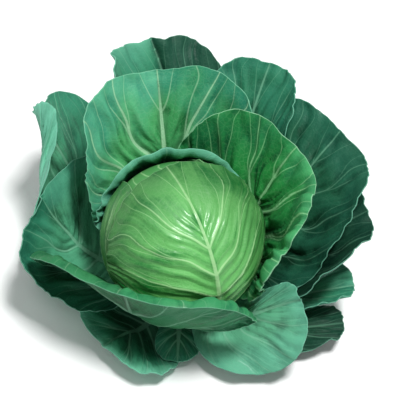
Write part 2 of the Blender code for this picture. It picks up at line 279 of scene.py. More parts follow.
def blurred(values: np.ndarray) -> np.ndarray:
    """The field with every value set to the mean of it and its neighbours."""
    padded = np.pad(values, 1, mode="edge")
    sides = padded[:-2, 1:-1] + padded[2:, 1:-1] + padded[1:-1, :-2] + padded[1:-1, 2:]
    return (2 * values + sides) / 6


def frame_grid() -> tuple[np.ndarray, np.ndarray]:
    """Along and out of every point of a leaf's mesh in the frame."""
    out = np.concatenate([-ACROSS[:0:-1], ACROSS])
    along, out = np.meshgrid(np.linspace(0, 1, ROWS + 1), out, indexing="ij")
    return along, out


def through_columns(columns: np.ndarray, values: np.ndarray, at: np.ndarray) -> np.ndarray:
    """A smooth curve through unevenly spaced columns, in every row.

    Args:
        columns: Where the columns are.
        values: A vector for each row and column.
        at: Where to read each row.

    Returns:
        A vector for each place in at.
    """
    first = np.clip(np.searchsorted(columns, at, side="right") - 1, 0, len(columns) - 2)
    width = (columns[first + 1] - columns[first])[..., None]
    t = (at - columns[first])[..., None] / width
    slopes = np.gradient(values, columns, axis=1)
    row = np.arange(values.shape[0])[:, None]
    here, beyond = values[row, first], values[row, first + 1]
    here_slope, beyond_slope = slopes[row, first] * width, slopes[row, first + 1] * width
    rise = t * t * (3 - 2 * t)
    return (
        here * (1 - rise)
        + beyond * rise
        + here_slope * (t**3 - 2 * t**2 + t)
        + beyond_slope * (t**3 - t**2)
    )


def ripples(x: np.ndarray, y: np.ndarray, size: float, seed: float) -> np.ndarray:
    """Smooth noise from about -1 to 1 over a surface.

    Args:
        x: First coordinate, in metres.
        y: Second coordinate, in metres.
        size: Size of one bump, in metres.
        seed: Picks one of many patterns.

    Returns:
        The noise at each place.
    """
    flat = [noise.noise(Vector((a, b, seed))) for a, b in zip((x / size).ravel(), (y / size).ravel())]
    return 1.6 * np.array(flat).reshape(x.shape)


def linear(hex_colour: str) -> tuple[float, float, float, float]:
    """An sRGB colour such as #4f9f7d as linear red, green, blue and alpha."""
    parts = [int(hex_colour[place : place + 2], 16) / 255 for place in (1, 3, 5)]
    red, green, blue = (part / 12.92 if part <= 0.04045 else ((part + 0.055) / 1.055) ** 2.4 for part in parts)
    return red, green, blue, 1.0


def add_node(
    tree: bpy.types.NodeTree,
    kind: str,
    inputs: dict[int | str, object] | None = None,
    **settings: object,
) -> bpy.types.Node:
    """A new node with its settings and links.

    Args:
        tree: The tree that gets the node.
        kind: The node's type.
        inputs: A value or a socket to link for each input that isn't left as it is.
        settings: The node's own properties.

    Returns:
        The node.
    """
    node = tree.nodes.new(kind)
    for name, value in settings.items():
        setattr(node, name, value)
    for key, value in (inputs or {}).items():
        if isinstance(value, bpy.types.NodeSocket):
            tree.links.new(value, node.inputs[key])
        else:
            node.inputs[key].default_value = value
    return node


@dataclass(frozen=True)
class LeafFinish:
    """Living leaf tissue under a thin wax: green between pale veins, bluer towards its margin, softly glossy."""

    name: str
    inner_deep: str
    inner_light: str
    outer_deep: str
    outer_light: str
    margin: str
    vein: str
    outer_vein: str
    rim: str
    roughness: float = 0.46
    gloss: float = 0.28
    coat: float = 0.05
    vein_strength: float = 0.9
    outer_vein_strength: float = 0.6
    to_margin: float = 0.6  # how far the blade takes the margin's colour at its edge
    patch: float = 0.030  # size of the darker and lighter patches, in metres
    mesh_of_veins: float = 0.0050  # distance between the finest veins, drawn a little coarser than real ones

    def dress(self) -> bpy.types.Material:
        """The material, made the first time that it is asked for."""
        made = bpy.data.materials.get(self.name)
        if made is not None:
            return made
        made = bpy.data.materials.new(self.name)
        made.use_nodes = True
        tree = made.node_tree
        shader = tree.nodes["Principled BSDF"]

        read = []
        for name in ("vein_lines", "vein_sizes", "blade_place", "blade_colour_and_painted_light"):
            stored = add_node(tree, "ShaderNodeAttribute", attribute_name=name).outputs["Vector"]
            read.append(add_node(tree, "ShaderNodeSeparateXYZ", {0: stored}).outputs)
        lines, sizes, place, tone = read
        flat = add_node(tree, "ShaderNodeAttribute", attribute_name="laid_flat").outputs["Vector"]

        from_side = add_node(tree, "ShaderNodeMath", {0: lines[0], 1: 0.5}, operation="PINGPONG").outputs[0]
        from_fork = add_node(
            tree, "ShaderNodeMath", {0: from_side, 1: lines[2]}, operation="SUBTRACT"
        ).outputs[0]
        from_fork = add_node(tree, "ShaderNodeMath", {0: from_fork}, operation="ABSOLUTE").outputs[0]
        gaps = add_node(tree, "ShaderNodeMath", {0: lines[1], 1: sizes[1]}, operation="DIVIDE").outputs[0]
        side = add_node(tree, "ShaderNodeMath", {0: from_side, 1: gaps}, operation="MULTIPLY").outputs[0]
        fork = add_node(tree, "ShaderNodeMath", {0: from_fork, 1: gaps}, operation="MULTIPLY").outputs[0]
        rib = add_node(tree, "ShaderNodeMath", {0: place[0]}, operation="ABSOLUTE").outputs[0]
        rib = add_node(tree, "ShaderNodeMath", {0: rib, 1: sizes[0]}, operation="DIVIDE").outputs[0]

        cells = add_node(
            tree,
            "ShaderNodeTexVoronoi",
            {"Vector": flat, "Scale": 1 / self.mesh_of_veins},
            feature="DISTANCE_TO_EDGE",
        ).outputs["Distance"]
        clouds = add_node(
            tree,
            "ShaderNodeTexNoise",
            {"Vector": flat, "Scale": 1 / self.patch, "Detail": 6.0, "Roughness": 0.62},
        ).outputs[0]
        # Fine streaks that run along the side veins, about nine from one vein to the next and 30 mm long
        seed = add_node(tree, "ShaderNodeSeparateXYZ", {0: flat}).outputs[2]
        streaks = add_node(tree, "ShaderNodeCombineXYZ", {0: lines[0], 1: place[0], 2: seed}).outputs[0]
        streaks = add_node(tree, "ShaderNodeMapping", {0: streaks, 3: (9.0, 0.035, 9.0)}).outputs[0]
        streaks = add_node(
            tree, "ShaderNodeTexNoise", {"Vector": streaks, "Scale": 1.0, "Detail": 4.0, "Roughness": 0.65}
        ).outputs[0]
        # The blade's relief, third in the stored tone, lightens the raised cushions and darkens the creases
        # between them: painted light and shade. The streaks are the leaf's own colour
        for layer, part in ((tone[2], 0.26), (streaks, 0.55)):
            clouds = add_node(
                tree, "ShaderNodeMath", {0: layer, 1: part, 2: clouds}, operation="MULTIPLY_ADD"
            ).outputs[0]
        # Each share rises from 0 to its height as its distance goes from far to near
        shares = {}
        for share, distance, far, near, height in (
            ("rib", rib, 1.25, 0.65, 1.0),
            ("side", side, 1.5, 0.55, 1.0),
            ("fork", fork, 1.0, 0.30, 0.60),
            ("halo", side, 6.0, 0.5, 0.14),
            ("net", cells, 0.09, 0.0, 0.12),
            ("patches", clouds, 0.60, 0.96, 1.0),
            ("edge", place[1], 0.9, 0.2, 0.6),
        ):
            shares[share] = add_node(
                tree,
                "ShaderNodeMapRange",
                {0: distance, 1: far, 2: near, 4: height},
                interpolation_type="SMOOTHSTEP",
            ).outputs[0]
        veins = shares["rib"]
        for finer in ("side", "fork", "halo", "net"):
            veins = add_node(
                tree, "ShaderNodeMath", {0: veins, 1: shares[finer]}, operation="MAXIMUM"
            ).outputs[0]
        net, patches = shares["net"], shares["patches"]

        sides = []
        for deep, light in ((self.inner_deep, self.inner_light), (self.outer_deep, self.outer_light)):
            colours = {0: patches, 6: linear(deep), 7: linear(light)}
            sides.append(add_node(tree, "ShaderNodeMix", colours, data_type="RGBA").outputs[2])
        blade = add_node(
            tree, "ShaderNodeMix", {0: place[2], 6: sides[0], 7: sides[1]}, data_type="RGBA"
        ).outputs[2]
        bluer = add_node(
            tree, "ShaderNodeMath", {0: tone[1], 1: self.to_margin}, operation="MULTIPLY"
        ).outputs[0]
        blade = add_node(
            tree, "ShaderNodeMix", {0: bluer, 6: blade, 7: linear(self.margin)}, data_type="RGBA"
        ).outputs[2]
        # The tone scales the blade's value: partly the leaf's own lighter or darker green, partly painted light
        # and shade. Where it is above 1 it greys the green as well, a painted sheen on the lit parts
        painted_sheen_greying = add_node(tree, "ShaderNodeMapRange", {0: tone[0], 1: 1.0, 2: 2.0, 3: 1.0, 4: 0.82}).outputs[0]
        blade = add_node(
            tree, "ShaderNodeHueSaturation", {"Saturation": painted_sheen_greying, "Value": tone[0], "Color": blade}
        ).outputs[0]
        vein = add_node(
            tree,
            "ShaderNodeMix",
            {0: place[2], 6: linear(self.vein), 7: linear(self.outer_vein)},
            data_type="RGBA",
        ).outputs[2]
        weaker = add_node(
            tree, "ShaderNodeMapRange", {0: place[2], 3: self.vein_strength, 4: self.outer_vein_strength}
        ).outputs[0]
        # The third vein size fades the veins towards the margin and in leaves whose tone paints shade on them
        strength = veins
        for factor in (weaker, sizes[2]):
            strength = add_node(tree, "ShaderNodeMath", {0: strength, 1: factor}, operation="MULTIPLY").outputs[0]
        colour = blade
        for share, top in ((strength, vein), (shares["edge"], linear(self.rim))):
            colour = add_node(tree, "ShaderNodeMix", {0: share, 6: colour, 7: top}, data_type="RGBA").outputs[2]
        tree.links.new(colour, shader.inputs["Base Color"])

        # Skin grain of about 2 mm, wrinkles of about 10 mm, and the finest veins sunk between them
        grain = add_node(
            tree, "ShaderNodeTexNoise", {"Vector": flat, "Scale": 1 / 0.0022, "Detail": 3.0}
        ).outputs[0]
        wrinkles = add_node(
            tree, "ShaderNodeTexNoise", {"Vector": flat, "Scale": 1 / 0.010, "Detail": 5.0, "Distortion": 0.6}
        ).outputs[0]
        height = grain
        for layer, share in ((wrinkles, 1.2), (streaks, 2.2), (net, -2.0)):
            height = add_node(
                tree, "ShaderNodeMath", {0: layer, 1: share, 2: height}, operation="MULTIPLY_ADD"
            ).outputs[0]
        bump = add_node(tree, "ShaderNodeBump", {"Strength": 0.6, "Distance": 0.0006, "Height": height})
        tree.links.new(bump.outputs[0], shader.inputs["Normal"])
        rough = add_node(
            tree, "ShaderNodeMapRange", {0: patches, 3: self.roughness - 0.06, 4: self.roughness + 0.08}
        ).outputs[0]
        tree.links.new(rough, shader.inputs["Roughness"])
        shader.inputs["IOR"].default_value = 1.42
        shader.inputs["Specular IOR Level"].default_value = self.gloss
        shader.inputs["Coat Weight"].default_value = self.coat
        shader.inputs["Coat Roughness"].default_value = 0.17
        return made


FINISHES = {
    Tissue.HEAD: LeafFinish(
        "waxy_head_leaf",
        inner_deep="#2f7f3c",
        inner_light="#4f9f55",
        outer_deep="#16782c",
        outer_light="#60b05c",
        margin="#2c8444",
        vein="#a9d699",
        outer_vein="#aadb9c",
        rim="#93c790",
        roughness=0.44,
        gloss=0.50,
        coat=0.26,
        outer_vein_strength=0.7,
        to_margin=0.35,
        patch=0.050,
    ),
    Tissue.INNER: LeafFinish(
        "fresh_inner_leaf",
        inner_deep="#146330",
        inner_light="#3f9758",
        outer_deep="#1d6b45",
        outer_light="#4a9f80",
        margin="#2f8a70",
        vein="#a4d6aa",
        outer_vein="#8cc8a6",
        rim="#74b894",
        to_margin=0.75,
    ),
    Tissue.OUTER: LeafFinish(
        "waxy_outer_leaf",
        inner_deep="#154e33",
        inner_light="#2c7c58",
        outer_deep="#2a7a5c",
        outer_light="#4fa183",
        margin="#2f8268",
        vein="#77b594",
        outer_vein="#80bda0",
        rim="#6fb095",
        roughness=0.50,
        vein_strength=0.7,
        outer_vein_strength=0.6,
    ),
}
# This inner leaf is drawn a deeper, purer green: partly its own colour, partly painted shade, as its inner face is
# turned from the light
DEEP_SHADED_LEAF = replace(
    FINISHES[Tissue.INNER],
    name="deep_green_with_painted_shade_leaf",
    inner_deep="#06401a",
    inner_light="#24843c",
    margin="#257c4a",
    vein="#8fcf94",
    rim="#9ad0a8",
    gloss=0.20,
)
# The cup leaf is deep green outside, partly its own colour and partly painted shade under its rolled rim, with
# faint veins where its rim rolls over
CUP_LEAF = replace(
    FINISHES[Tissue.INNER],
    name="cup_leaf",
    outer_deep="#14522c",
    outer_light="#2f8050",
    margin="#2a7a58",
    gloss=0.18,
    vein_strength=0.35,
    outer_vein_strength=0.45,
    to_margin=0.5,
)


@dataclass
class LeafPiece:
    """A leaf as it is seen: its sheet in the frame, drawn finer, with veins, quilting and a frilled margin."""

    leaf: Leaf
    pressed: np.ndarray  # how far the leaves inside have pushed each point of the frame's mesh
    others: BVHTree  # every other piece of the frame
    seed: float

    def grid(self) -> tuple[np.ndarray, np.ndarray]:
        """Along and out of every point of the fine mesh, with the columns closer together near the margins."""
        cell = self.leaf.veining.cell
        rows = int(np.clip(self.leaf.length / cell, 40, 130))
        columns = int(np.clip(self.leaf.width / 2 / cell, 20, 58))
        even = np.linspace(0, 1, columns + 1)
        half = 1 - (1 - even) ** 1.2
        along, out = np.meshgrid(np.linspace(0, 1, rows + 1), np.concatenate([-half[:0:-1], half]), indexing="ij")
        return along, out

    def vein_phase(self, along: np.ndarray, out: np.ndarray) -> np.ndarray:
        """A value that is whole on every side vein and rises by one from each vein to the next."""
        veining = self.leaf.veining
        x, y = self.leaf.flat(along, out)
        gathered = np.clip(along, 1e-4, 1) ** (1 - veining.lean * (1 - np.abs(out)))
        wander = ripples(x, y, 0.045, self.seed) * 0.22 * ease(0.0, 0.25, np.abs(out)) * ease(1.0, 0.85, along)
        return veining.side_veins * gathered + wander

    def fork_phase(self, along: np.ndarray, out: np.ndarray) -> np.ndarray:
        """How far each side vein's two branches have left it, as a share of the way to the next vein."""
        x, y = self.leaf.flat(along, out)
        foot = 0.38 + 0.16 * ripples(x, y, 0.060, self.seed + 7.0)
        return 0.34 * np.clip((np.abs(out) - foot) / (1 - foot), 0, 1) ** 0.75 - 0.05 * (np.abs(out) < foot)

    def vein_gap(self, along: np.ndarray, out: np.ndarray, phase: np.ndarray) -> np.ndarray:
        """Distance from one side vein to the next, in metres."""
        x, y = self.leaf.flat(along, out)
        x_row, x_column = np.gradient(x)
        y_row, y_column = np.gradient(y)
        phase_row, phase_column = np.gradient(phase)
        area = x_row * y_column - x_column * y_row
        area = np.where(np.abs(area) < 1e-12, 1e-12, area)
        slope_x = (phase_row * y_column - phase_column * y_row) / area
        slope_y = (phase_column * x_row - phase_row * x_column) / area
        return np.clip(1 / (np.hypot(slope_x, slope_y) + 1e-6), 0.0005, 0.06)

    def sheet(self, along: np.ndarray, out: np.ndarray) -> np.ndarray:
        """The leaf's inner face without its relief: the leaf as it bends, pushed out as the frame's mesh was."""
        rows = along[:, 0]
        keys = self.pressed.reshape(ROWS + 1, -1)
        pushed = smooth_through(keys, rows).reshape(len(rows), 2 * SIDE + 1, 3)
        columns = np.concatenate([-ACROSS[:0:-1], ACROSS])
        return self.leaf.curled(along, out) + through_columns(columns, pushed, out)

    def normals(self, sheet: np.ndarray) -> np.ndarray:
        """Which way the inner face looks at each point."""
        along_step = np.gradient(sheet, axis=0)
        out_step = np.gradient(sheet, axis=1)
        turned = np.cross(along_step, out_step)
        turned[-1] = turned[-2]
        turned[-1] = turned[-1] + turned[-1][::-1]
        return turned / (np.linalg.norm(turned, axis=-1, keepdims=True) + 1e-12)

    def clearance(self, places: np.ndarray, ways: np.ndarray) -> np.ndarray:
        """How far each place may move along its way before it could meet a neighbour that moves as well."""
        free = np.full(places.shape[:2], 0.020)
        for row, column in np.ndindex(free.shape):
            start, way = Vector(places[row, column]), Vector(ways[row, column])
            hit = self.others.ray_cast(start, way, 0.020)[3]
            if hit is not None:
                free[row, column] = hit
        room = np.maximum(0.45 * free - 0.0002, 0.0)
        return np.minimum(room, blurred(blurred(blurred(room))))

    def build(self) -> bpy.types.Object:
        """The leaf's object, with what its material reads stored on its points.

        Returns:
            The object, at the origin.
        """
        leaf, veining = self.leaf, self.leaf.veining
        along, even_out = self.grid()
        side = np.sign(even_out)
        x, y = leaf.flat(along, even_out)
        rib_x, rib_y = leaf.flat(along, 0.0 * even_out)
        edge_x, edge_y = leaf.flat(along, side)
        vein_length = np.hypot(edge_x - rib_x, edge_y - rib_y) + 1e-6

        round_margin = side * (1 - along)
        margin_run = round_margin * leaf.length
        nicks = 0.5 + 0.35 * ripples(margin_run, 0 * margin_run, 0.016, self.seed + 1.0)
        nicks += 0.30 * ripples(margin_run, 0 * margin_run, 0.006, self.seed + 2.0)
        torn = np.clip(nicks, 0, 1) * veining.ragged * ease(0.04, 0.15, along)
        out = even_out * (1 - np.clip(torn / vein_length, 0, 0.2) * np.abs(even_out) ** 8)

        phase = self.vein_phase(along, even_out)
        fork = self.fork_phase(along, even_out)
        gap = self.vein_gap(along, even_out, phase)
        from_side = np.abs((phase + 0.5) % 1.0 - 0.5)
        from_fork = np.abs(from_side - np.maximum(fork, 0.0))
        reach = np.abs(even_out)
        side_width = veining.vein * (1 - 0.85 * reach**0.8) * ease(0.0, 0.12, along) + 0.00022
        rib_width = RIB_HALF_WIDTH * (0.09 + veining.rib * np.clip(1 - y / leaf.length, 0, 1) ** 1.3)

        cushion = np.minimum(from_side, np.where(fork > 0.02, np.maximum(from_fork, 0.4 * from_side), from_side))
        cushion = 1 - (1 - np.clip(2 * cushion, 0, 1)) ** 2.2
        away_from_rib = ease(0.5, 2.2, np.abs(x) / rib_width)
        room = np.clip(gap / 0.018, 0.1, 1.3)
        relief = veining.bulge * cushion * away_from_rib * room
        relief += veining.crumple * ripples(x, y, 0.019, self.seed + 3.0) * away_from_rib * ease(0.02, 0.2, along)
        # Narrow folds, a few between each pair of side veins, which run along most of the vein
        folds = np.abs(ripples(2.6 * phase, 1.3 * reach, 1.0, self.seed + 4.0))
        folds += 0.5 * np.abs(ripples(5.7 * phase, 2.2 * reach + 0.2 * phase, 1.0, self.seed + 9.0))
        relief += veining.pleat * (folds - 0.5) * away_from_rib * room * ease(0.02, 0.2, along)
        frill = smooth_through(veining.frill, 0.5 + 0.5 * round_margin)
        waves = ripples(margin_run, 0 * margin_run, 0.0085, self.seed + 5.0)
        waves += 0.8 * ripples(margin_run, 0.3 * x, 0.021, self.seed + 6.0)
        relief += frill * waves * reach**5 * ease(0.04, 0.2, along)
        for crease_side, crease_phase, depth in veining.creases:
            across = phase - crease_phase
            valley = np.exp(-((across / 0.10) ** 2)) - 0.55 * np.exp(-(((across - 0.28) / 0.22) ** 2))
            relief += depth * valley * (side == crease_side) * ease(0.12, 0.4, reach) * ease(1.02, 0.8, reach)

        smooth = self.sheet(along, out)
        facing = self.normals(smooth)
        back = smooth - facing * leaf.thickness(along, even_out)[..., None]
        relief = np.maximum(relief, -self.clearance(back, -facing))
        if leaf.tissue is not Tissue.HEAD:
            relief = np.minimum(relief, self.clearance(smooth, facing))
        inner = smooth + facing * relief[..., None]
        facing = self.normals(inner)
        rib = leaf.rib_share(along, even_out)
        middle = facing[:, facing.shape[1] // 2][:, None]
        facing = facing + rib[..., None] * (middle - facing)
        facing /= np.linalg.norm(facing, axis=-1, keepdims=True)
        ridge = veining.ridge * np.exp(-((from_side * gap / (1.3 * side_width)) ** 2)) * (1 - 0.7 * reach)
        ridge *= ease(0.03, 0.2, along) * (1 - rib)
        outer = inner - facing * (leaf.thickness(along, even_out) + ridge)[..., None]
        outer[..., 2] = np.maximum(outer[..., 2], FLOOR_GAP)
        inner[..., 2] = np.maximum(inner[..., 2], FLOOR_GAP + BLADE)

        rim = vein_length * (1 - reach) * 1000
        outward = ease(0.25, 1.05, reach + 0.25 * ripples(x, y, 0.028, self.seed + 8.0)) * np.ones_like(along)
        # Tone across the blade, partly the leaf's own green and partly painted light and shade; a shaded leaf's
        # veins are drawn fainter as well, so that they carry the painted shade
        tone = smooth_through(leaf.tone, 0.5 + 0.5 * even_out)
        pale = (0.55 + 0.45 * np.clip(1 - 0.6 * reach, 0, 1)) * np.clip(tone, 0.1, 1.0) ** 0.6
        attributes = {
            "vein_lines": np.stack([phase, gap * 1000, fork], axis=-1),
            "vein_sizes": np.stack([rib_width * 1000, side_width * 1000, pale], axis=-1),
            "blade_place": np.stack([x * 1000, rim, 0 * x], axis=-1),
            "laid_flat": np.stack([x, y, 0 * x + 0.1 * self.seed], axis=-1),
            # Tone with its painted light and shade, how far towards the margin, and the relief, which the material
            # paints as light on the cushions and shade in the creases
            "blade_colour_and_painted_light": np.stack([tone, outward, np.clip(relief / 0.003, -1, 1)], axis=-1),
        }
        return self.stitched(inner, outer, attributes)

    def stitched(
        self, inner: np.ndarray, outer: np.ndarray, attributes: dict[str, np.ndarray]
    ) -> bpy.types.Object:
        """One closed mesh of the inner face, the outer face and the rim between them.

        Args:
            inner: The inner face's points, by row and column.
            outer: The outer face's points, by row and column.
            attributes: What the material reads at each row and column.

        Returns:
            The object, at the origin.
        """
        rows, columns = inner.shape[0] - 1, inner.shape[1] - 1
        shape = bmesh.new()
        bmesh.ops.create_grid(shape, x_segments=columns, y_segments=rows, size=1.0)
        number = shape.verts.layers.int.new("number")
        layers = {name: shape.verts.layers.float_vector.new(name) for name in attributes}
        for vert in shape.verts:
            column = round((vert.co.x + 1) / 2 * columns)
            vert[number] = round((vert.co.y + 1) / 2 * rows) * (columns + 1) + column
        first = list(shape.verts)
        grown = bmesh.ops.extrude_face_region(shape, geom=shape.faces[:], use_keep_orig=True)["geom"]
        new = [part for part in grown if isinstance(part, bmesh.types.BMVert)]
        tip = rows * (columns + 1)
        for verts, face_places, on_outer in ((first, inner, 0.0), (new, outer, 1.0)):
            places = face_places.reshape(-1, 3)
            order = np.array([vert[number] for vert in verts])
            for vert, place in zip(verts, places[order]):
                vert.co = place
            for name, values in attributes.items():
                picked = values.reshape(-1, 3)[order]
                if name == "blade_place":
                    picked[:, 2] = on_outer
                for vert, value in zip(verts, picked):
                    vert[layers[name]] = value
        for verts in (first, new):
            joined = [vert for vert in verts if vert.is_valid and vert[number] >= tip]
            bmesh.ops.remove_doubles(shape, verts=joined, dist=1e-6)
        bmesh.ops.recalc_face_normals(shape, faces=shape.faces)
        if shape.calc_volume(signed=True) < 0:
            bmesh.ops.reverse_faces(shape, faces=shape.faces)
        for face in shape.faces:
            face.smooth = True
        mesh = bpy.data.meshes.new(self.leaf.name)
        shape.to_mesh(mesh)
        shape.free()
        return bpy.data.objects.new("leaf_" + self.leaf.name, mesh)


@dataclass
class Heart:
    """The tight inner ball of the head on its cut stalk."""

    sides: int = 96
    rings: int = 60

    def profile(self, count: int) -> list[tuple[float, float]]:
        """Radius and height of points up the outline, from the cut face to the top."""
        low = math.asin(STALK_RADIUS / HEAD_RADIUS)
        angles = np.linspace(low, math.pi, count)[:-1]
        ball = [(HEAD_RADIUS * math.sin(angle), HEAD_MIDDLE - HEAD_RADIUS * math.cos(angle)) for angle in angles]
        return [(0.0, 0.0), (STALK_RADIUS, 0.0), *ball, (0.0, HEAD_MIDDLE + HEAD_RADIUS)]

    def frame_solid(self, sides: int = 32) -> tuple[list[Vector], list[tuple[int, ...]]]:
        """Points and triangles of the heart as it is in the frame, which the leaves are pressed against."""
        profile = self.profile(20)
        rings = profile[1:-1]
        points = [Vector((0, 0, profile[0][1])), Vector((0, 0, profile[-1][1]))]
        for radius, height in rings:
            for side in range(sides):
                angle = math.tau * side / sides
                points.append(Vector((radius * math.cos(angle), radius * math.sin(angle), height)))
        faces = []
        for side in range(sides):
            beside = (side + 1) % sides
            faces.append((0, 2 + beside, 2 + side))
            top = 2 + (len(rings) - 1) * sides
            faces.append((1, top + side, top + beside))
            for ring in range(len(rings) - 1):
                low, high = 2 + ring * sides, 2 + (ring + 1) * sides
                faces += [(low + side, low + beside, high + beside), (low + side, high + beside, high + side)]
        return points, faces

    def build(self) -> bpy.types.Object:
        """The heart's object: its outline turned about Z."""
        shape = bmesh.new()
        outline = [shape.verts.new((radius, 0, height)) for radius, height in self.profile(self.rings)]
        edges = [shape.edges.new(pair) for pair in zip(outline, outline[1:])]
        bmesh.ops.spin(
            shape,
            geom=outline + edges,
            cent=(0, 0, 0),
            axis=(0, 0, 1),
            angle=math.tau,
            steps=self.sides,
            use_merge=True,
        )
        bmesh.ops.remove_doubles(shape, verts=shape.verts, dist=1e-6)
        bmesh.ops.recalc_face_normals(shape, faces=shape.faces)
        for face in shape.faces:
            face.smooth = abs(face.normal.z) < 0.99 or face.calc_center_median().z > STALK_RADIUS
        mesh = bpy.data.meshes.new("heart_ball")
        shape.to_mesh(mesh)
        shape.free()
        return bpy.data.objects.new("heart_and_stalk", mesh)

    def dress(self) -> bpy.types.Material:
        """Pale stalk skin with lengthwise fibres, which turns to patchy, veined green up the head."""
        made = bpy.data.materials.new("stalk_and_heart")
        made.use_nodes = True
        tree = made.node_tree
        shader = tree.nodes["Principled BSDF"]
        where = add_node(tree, "ShaderNodeTexCoord").outputs["Object"]
        height = add_node(tree, "ShaderNodeSeparateXYZ", {0: where}).outputs[2]
        up = add_node(tree, "ShaderNodeMapRange", {0: height, 1: 0.035, 2: 0.075}).outputs[0]
        stretched = add_node(tree, "ShaderNodeMapping", {0: where, 3: (900.0, 900.0, 60.0)}).outputs[0]
        fibres = add_node(
            tree, "ShaderNodeTexNoise", {"Vector": stretched, "Scale": 1.0, "Detail": 3.0}
        ).outputs[0]
        # Thin pale veins, about 14 mm apart, on green patches of about 30 mm
        patches = add_node(
            tree, "ShaderNodeTexNoise", {"Vector": where, "Scale": 1 / 0.030, "Detail": 5.0}
        ).outputs[0]
        mixed = []
        for share, deep, light in ((fibres, "#a9b98a", "#dfe6c8"), (patches, "#257e36", "#69ad65")):
            colours = {0: share, 6: linear(deep), 7: linear(light)}
            mixed.append(add_node(tree, "ShaderNodeMix", colours, data_type="RGBA").outputs[2])
        skin, green = mixed
        bands = add_node(
            tree,
            "ShaderNodeTexWave",
            {"Vector": where, "Scale": 26.0, "Distortion": 7.0, "Detail": 2.0, "Detail Scale": 0.6},
            bands_direction="DIAGONAL",
        ).outputs[1]
        veins = add_node(tree, "ShaderNodeMapRange", {0: bands, 1: 0.94, 2: 1.0, 4: 0.55}).outputs[0]
        green = add_node(
            tree, "ShaderNodeMix", {0: veins, 6: green, 7: linear("#aadb9c")}, data_type="RGBA"
        ).outputs[2]
        colour = add_node(tree, "ShaderNodeMix", {0: up, 6: skin, 7: green}, data_type="RGBA").outputs[2]
        tree.links.new(colour, shader.inputs["Base Color"])
        bump = add_node(tree, "ShaderNodeBump", {"Strength": 0.5, "Distance": 0.0004, "Height": fibres}).outputs[0]
        tree.links.new(bump, shader.inputs["Normal"])
        shader.inputs["Roughness"].default_value = 0.5
        return made


def close_leaf(
    name: str,
    heading: float,
    layer: float,
    first_angle: float,
    last_angle: float,
    width: float,
    **more: object,
) -> Leaf:
    """A leaf wrapped round the head.

    Args:
        name: The leaf's node.
        heading: Where its midrib points, seen from above.
        layer: How far outside the heart it lies.
        first_angle: Where it starts, in degrees up from the head's underside.
        last_angle: Where it ends.
        width: Its width.
        more: Any other field of the leaf.

    Returns:
        The leaf.
    """
    radius = HEAD_RADIUS + layer
    low = math.radians(first_angle)
    return Leaf(
        name,
        Tissue.HEAD,
        heading,
        HEAD_MIDDLE - radius * math.cos(low),
        radius * math.radians(last_angle - first_angle),
        width,
        (first_angle, last_angle),
        cup=(math.degrees(width / 2 / radius),) * 2,
        petiole=0.0020,
        start=radius * math.sin(low),
        gap=0.0014,
        **more,
    )


CLOSE = Veining(
    side_veins=8, lean=0.35, bulge=0.0010, crumple=0.0004, pleat=0.0010, ridge=0.0006, vein=0.0007, rib=0.34,
    ragged=0.0030,
)
COLLAR = Veining(
    side_veins=8, lean=0.35, bulge=0.0012, crumple=0.0010, pleat=0.0022, vein=0.0008, rib=0.34, ragged=0.0050,
    frill=(0.0020, 0.0050, 0.0030, 0.0030, 0.0040, 0.0020),
)
INNER = Veining(
    side_veins=7, lean=0.55, bulge=0.0026, crumple=0.0007, pleat=0.0040, vein=0.0021, rib=0.75, ragged=0.0020,
    creases=((1, 5.5, 0.0040),),
)
PLEATED = Veining(
    side_veins=8, lean=0.55, bulge=0.0026, crumple=0.0004, pleat=0.0050, vein=0.0015, rib=0.55, ragged=0.0020,
    frill=(0.0080, 0.0080, 0.0040, 0.0010),
)
